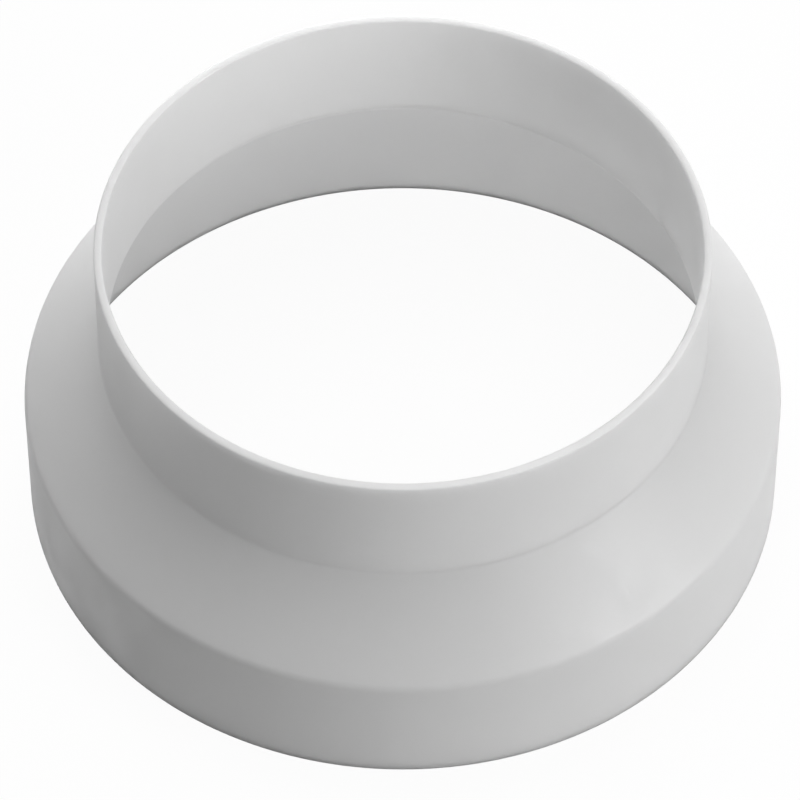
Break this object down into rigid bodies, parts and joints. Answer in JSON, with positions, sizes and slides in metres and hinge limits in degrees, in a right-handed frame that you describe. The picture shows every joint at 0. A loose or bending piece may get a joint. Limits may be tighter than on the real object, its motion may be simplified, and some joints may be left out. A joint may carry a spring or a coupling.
{
  "type": "duct reducer",
  "caption": "Round duct reducer: a wide spigot and a narrow spigot in line, joined by a conical shoulder, moulded as one thin wall and open right through.",
  "frame": {"origin": "on the duct's axis, in the plane of the wide rim that the reducer stands on", "axes": "+Z along the duct's axis from the wide rim up to the narrow rim; X and Y are across it, and any turn about Z gives the same shape"},
  "size_m": [0.125, 0.125, 0.0575],
  "materials": {
    "white_plastic": "white moulded plastic, satin and slightly translucent, with a very fine even texture"
  },
  "bodies": {
    "root": {"reducer": "white_plastic"}
  },
  "joints": []
}
